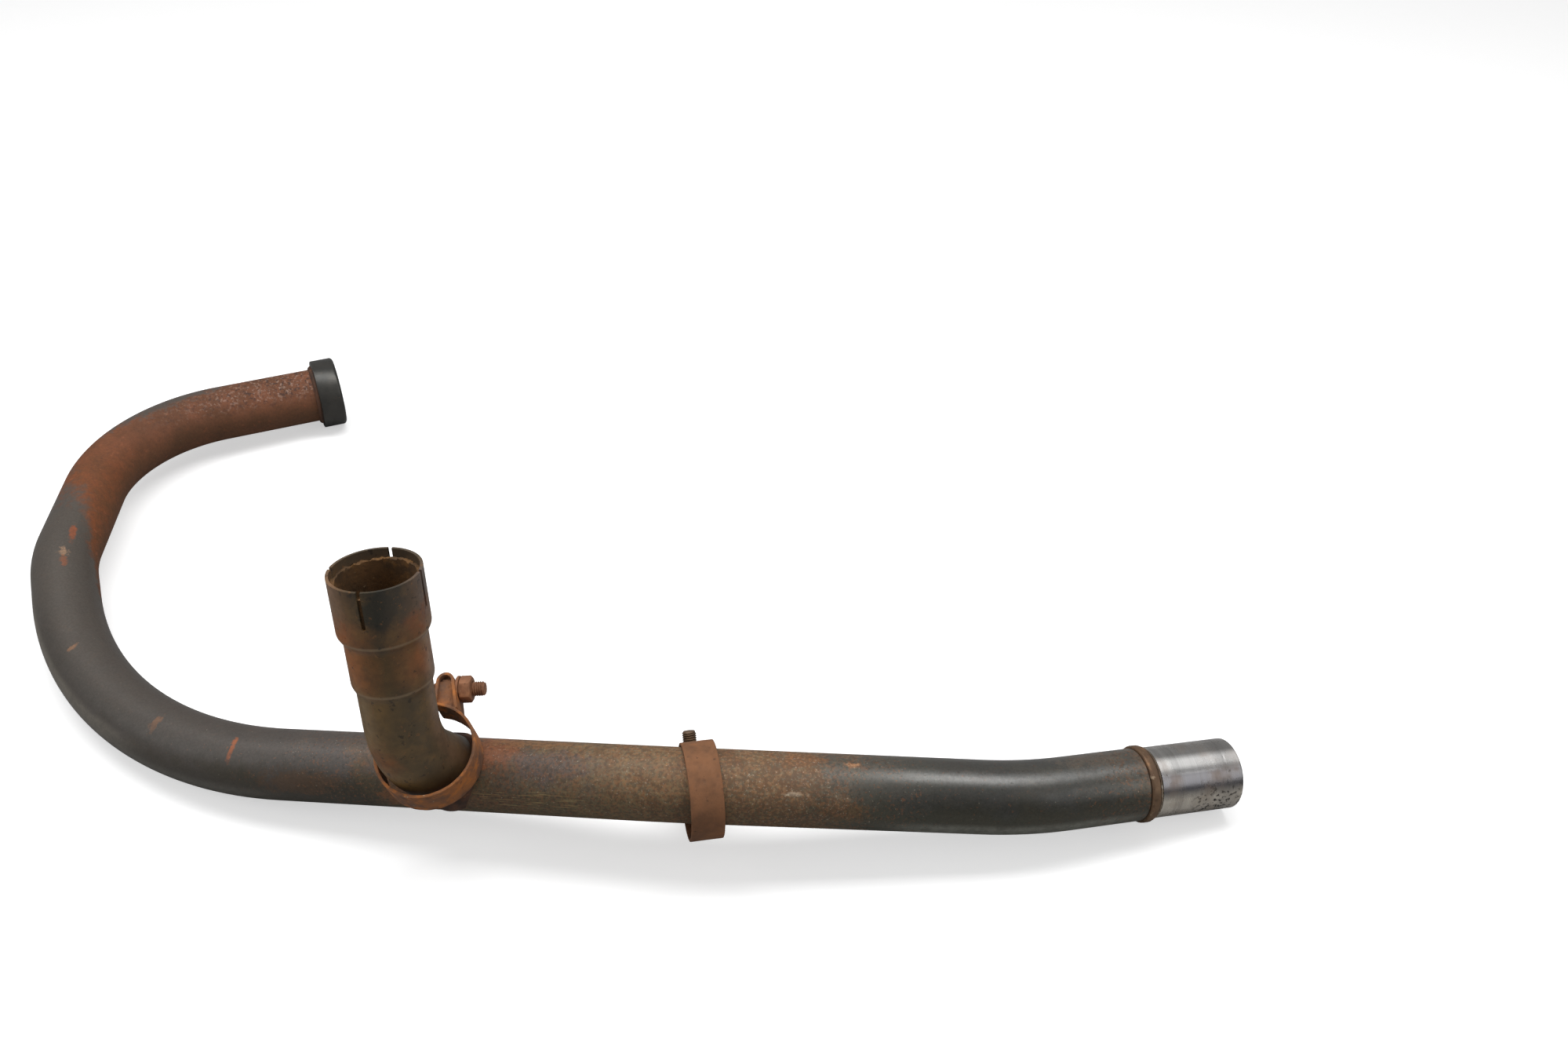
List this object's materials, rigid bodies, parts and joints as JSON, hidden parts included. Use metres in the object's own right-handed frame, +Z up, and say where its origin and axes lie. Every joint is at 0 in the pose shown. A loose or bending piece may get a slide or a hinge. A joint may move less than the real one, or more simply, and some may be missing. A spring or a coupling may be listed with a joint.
{
  "type": "motorcycle exhaust header",
  "caption": "Bent head pipe with a port collar, a slotted branch socket for a crossover, a bright tail sleeve and loose clamps.",
  "frame": {"origin": "middle of the floor area under the part as it lies, on the floor", "axes": "+X from the port bend along the pipe's run to the tail sleeve, +Y from the run to the port collar, +Z up, out of the branch's socket"},
  "size_m": [0.7613, 0.476, 0.1919],
  "materials": {
    "pipe_steel": "dark satin pipe with rust specks",
    "black_steel": "charcoal satin",
    "bright_steel": "bright turned steel with scratches",
    "tan_steel": "tan heat-coloured steel",
    "branch_steel": "dark olive-brown steel with rust patches",
    "gasket_graphite": "brown flaking gasket sleeve",
    "rusty_steel": "matte rust",
    "screw_steel": "dark worn screw steel"
  },
  "bodies": {
    "root": {"header_pipe": "pipe_steel", "port_collar": "black_steel", "collar_weld": "rusty_steel", "tail_sleeve": "bright_steel", "stop_ring": "tan_steel", "ring_weld": "tan_steel", "crossover_branch": "branch_steel", "branch_weld": "rusty_steel", "socket_gasket": "gasket_graphite", "crossover_clamp_band": "rusty_steel", "crossover_clamp_screw": "rusty_steel", "crossover_clamp_washer": "rusty_steel", "crossover_clamp_nut": "rusty_steel", "muffler_clamp_band": "rusty_steel", "muffler_clamp_lower_plate": "rusty_steel", "muffler_clamp_upper_plate": "rusty_steel", "muffler_clamp_screw": "screw_steel", "muffler_clamp_washer": "screw_steel", "muffler_clamp_nut": "screw_steel"}
  },
  "joints": []
}
